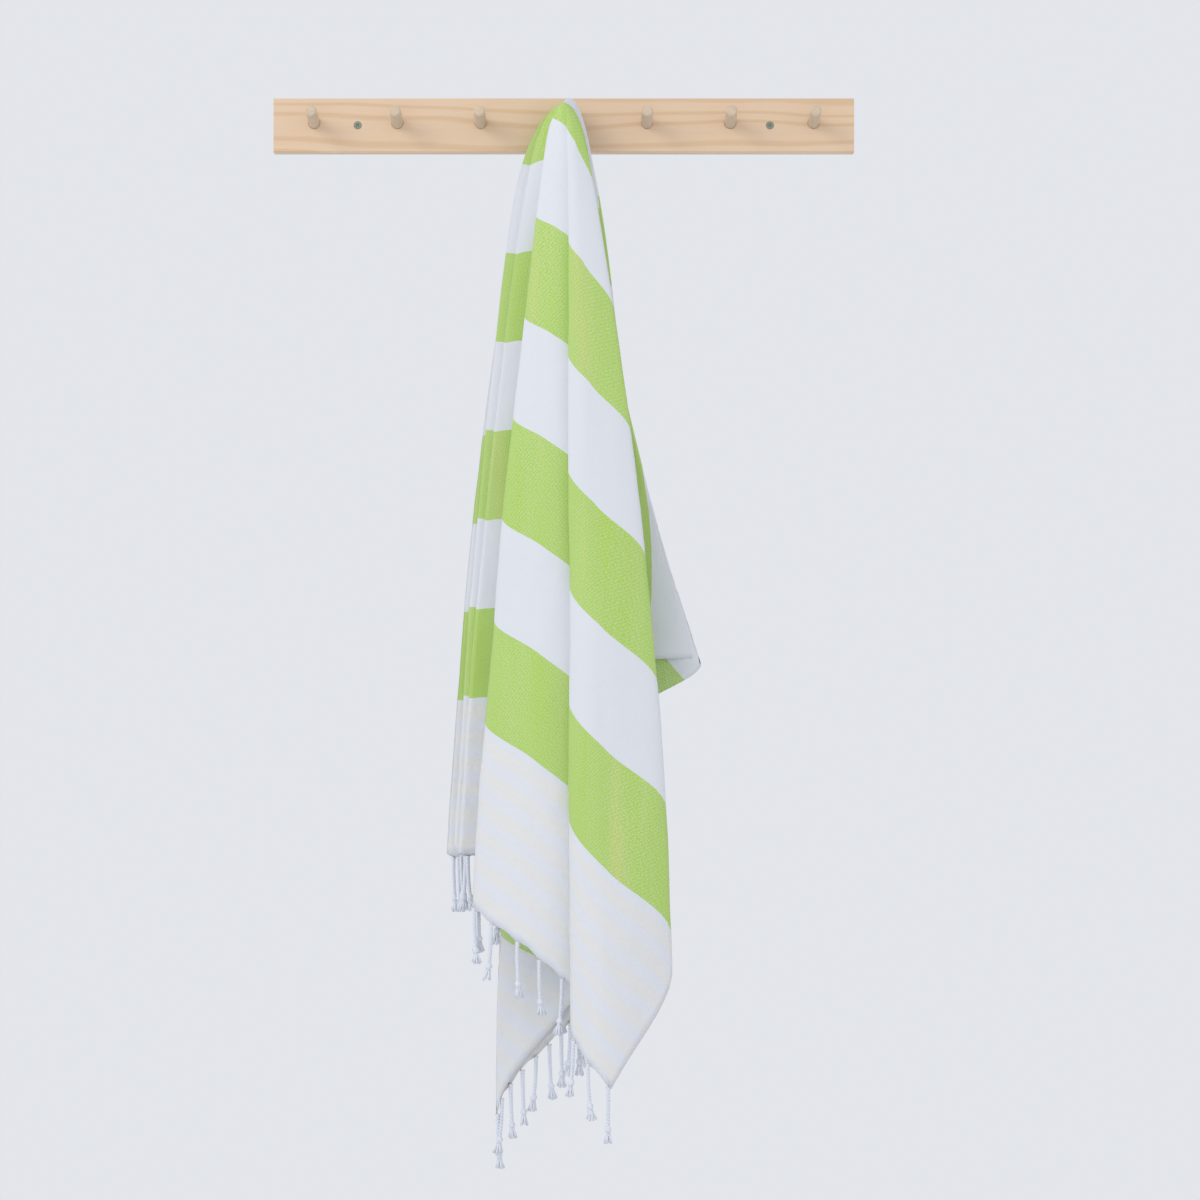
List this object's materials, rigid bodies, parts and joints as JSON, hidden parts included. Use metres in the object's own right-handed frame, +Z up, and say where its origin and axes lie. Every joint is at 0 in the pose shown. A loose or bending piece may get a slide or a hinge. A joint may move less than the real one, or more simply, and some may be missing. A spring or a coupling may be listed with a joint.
{
  "type": "towel on wooden peg rail",
  "caption": "Flat-woven striped towel with knotted fringes, draped off its centre over the middle dowel of a wooden peg rail, for fixing to a wall.",
  "frame": {"origin": "middle of the rail's back face, on the wall plane", "axes": "+Y out of the rail's back into the wall, so -Y is the room side; +Z up; +X along the rail to the right as seen from the room"},
  "size_m": [0.6, 0.153, 1.1112],
  "materials": {
    "rail_wood": "clear satin over pale pine",
    "dowel_wood": "bare pale dowel",
    "screw_steel": "dull zinc",
    "towel_cotton": "flat weave in green and white bands, pale beige and white bars at the ends",
    "fringe_cotton": "white twisted cord"
  },
  "bodies": {
    "root": {"rail": "rail_wood", "peg_1": "dowel_wood", "peg_2": "dowel_wood", "peg_3": "dowel_wood", "peg_4": "dowel_wood", "peg_5": "dowel_wood", "peg_6": "dowel_wood", "peg_7": "dowel_wood", "screw_left": "screw_steel", "screw_right": "screw_steel", "towel": "towel_cotton", "front_fringe": "fringe_cotton", "back_fringe": "fringe_cotton"}
  },
  "joints": []
}
